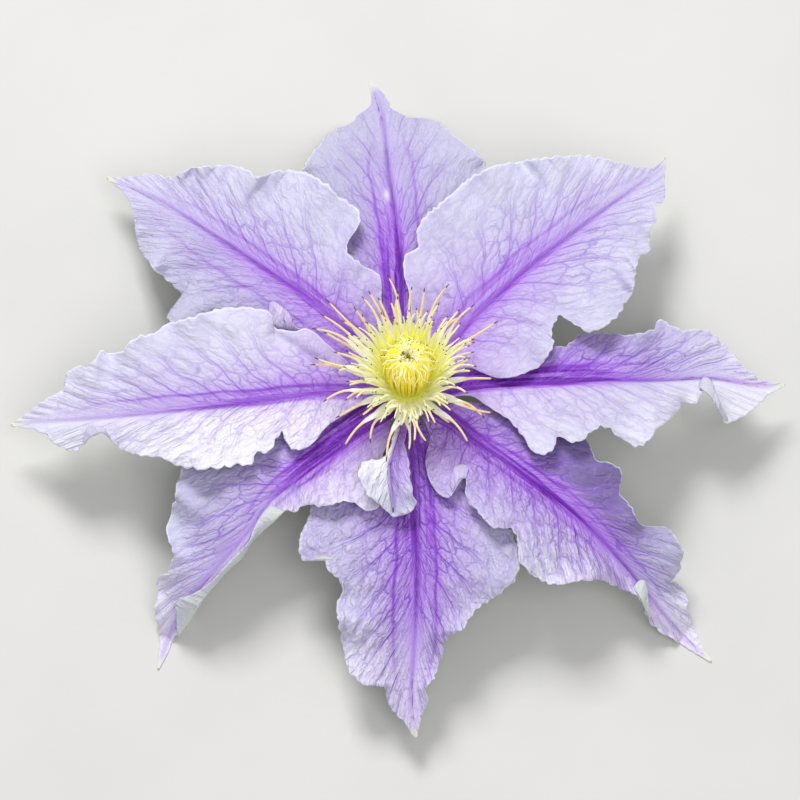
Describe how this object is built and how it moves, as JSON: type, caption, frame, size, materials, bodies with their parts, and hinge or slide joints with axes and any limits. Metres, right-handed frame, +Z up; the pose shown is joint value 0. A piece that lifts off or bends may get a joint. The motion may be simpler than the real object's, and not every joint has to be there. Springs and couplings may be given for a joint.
{
  "type": "clematis flower",
  "caption": "Large-flowered clematis bloom lying face up: ruffled pointed tepals, a brush of stamens, a tight head of styles and a short cut stalk bent beneath.",
  "frame": {"origin": "middle of the outline seen from above, on the surface that the bloom rests on", "axes": "+Z up, out of the bloom's face; +X from the west tepal towards the east one; +Y towards the north tepal, away from the eye of the picture"},
  "size_m": [0.1556, 0.1542, 0.0291],
  "materials": {
    "tepal": "soft matte petal, pale lavender with a violet bar, branching veins and whitish margins; pale green-white beneath",
    "stamen": "waxy cream-white filaments, tan anthers with small dark tips",
    "pistil": "golden yellow styles with pale silky tips",
    "stem": "matte green, finely downy stalk"
  },
  "bodies": {
    "root": {"tepal_north": "tepal", "tepal_northeast": "tepal", "tepal_east": "tepal", "tepal_southeast": "tepal", "tepal_south": "tepal", "tepal_southwest": "tepal", "tepal_west": "tepal", "tepal_northwest": "tepal", "petaloid": "tepal", "stamens": "stamen", "pistils": "pistil", "stem": "stem"}
  },
  "joints": []
}
